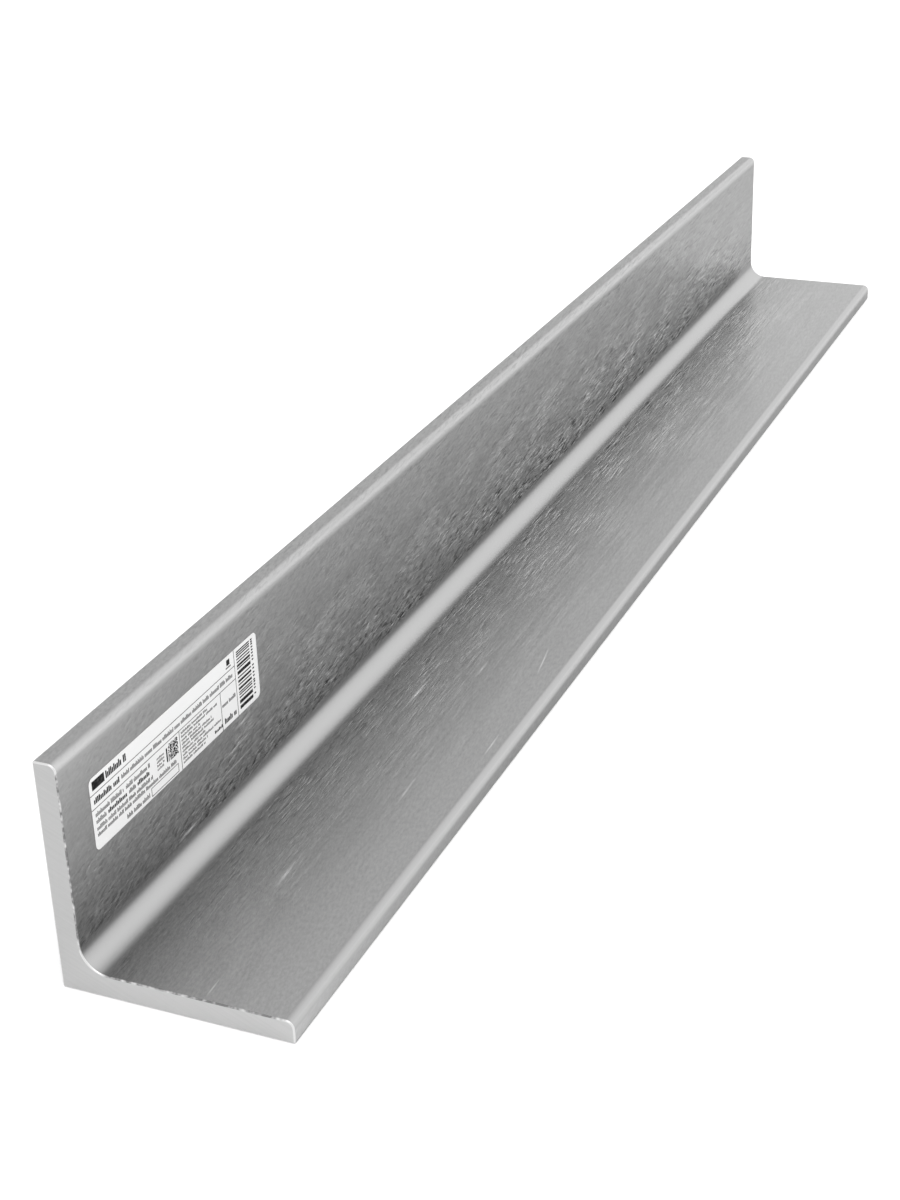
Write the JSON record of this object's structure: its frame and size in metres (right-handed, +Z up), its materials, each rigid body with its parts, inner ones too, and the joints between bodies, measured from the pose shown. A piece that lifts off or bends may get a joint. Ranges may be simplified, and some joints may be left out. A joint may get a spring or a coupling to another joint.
{
  "type": "mounting angle",
  "caption": "Equal-leg steel angle bar, hot-rolled and galvanised, with a root fillet, rounded toes and square sawn ends, and a small adhesive label near one end.",
  "frame": {"origin": "middle of the bar's footprint on the surface that it lies on, at the outer face of its flat leg", "axes": "+X along the bar, away from the labelled end; +Y towards the outer face of the upright leg; +Z up, the way the upright leg stands"},
  "size_m": [0.47, 0.05, 0.05],
  "materials": {
    "galvanised_steel": "hot-dip galvanised, satin, with fine drawn streaks along the bar",
    "label_film": "white printed film, semi-matt"
  },
  "bodies": {
    "root": {"angle_bar": "galvanised_steel", "label": "label_film"}
  },
  "joints": []
}
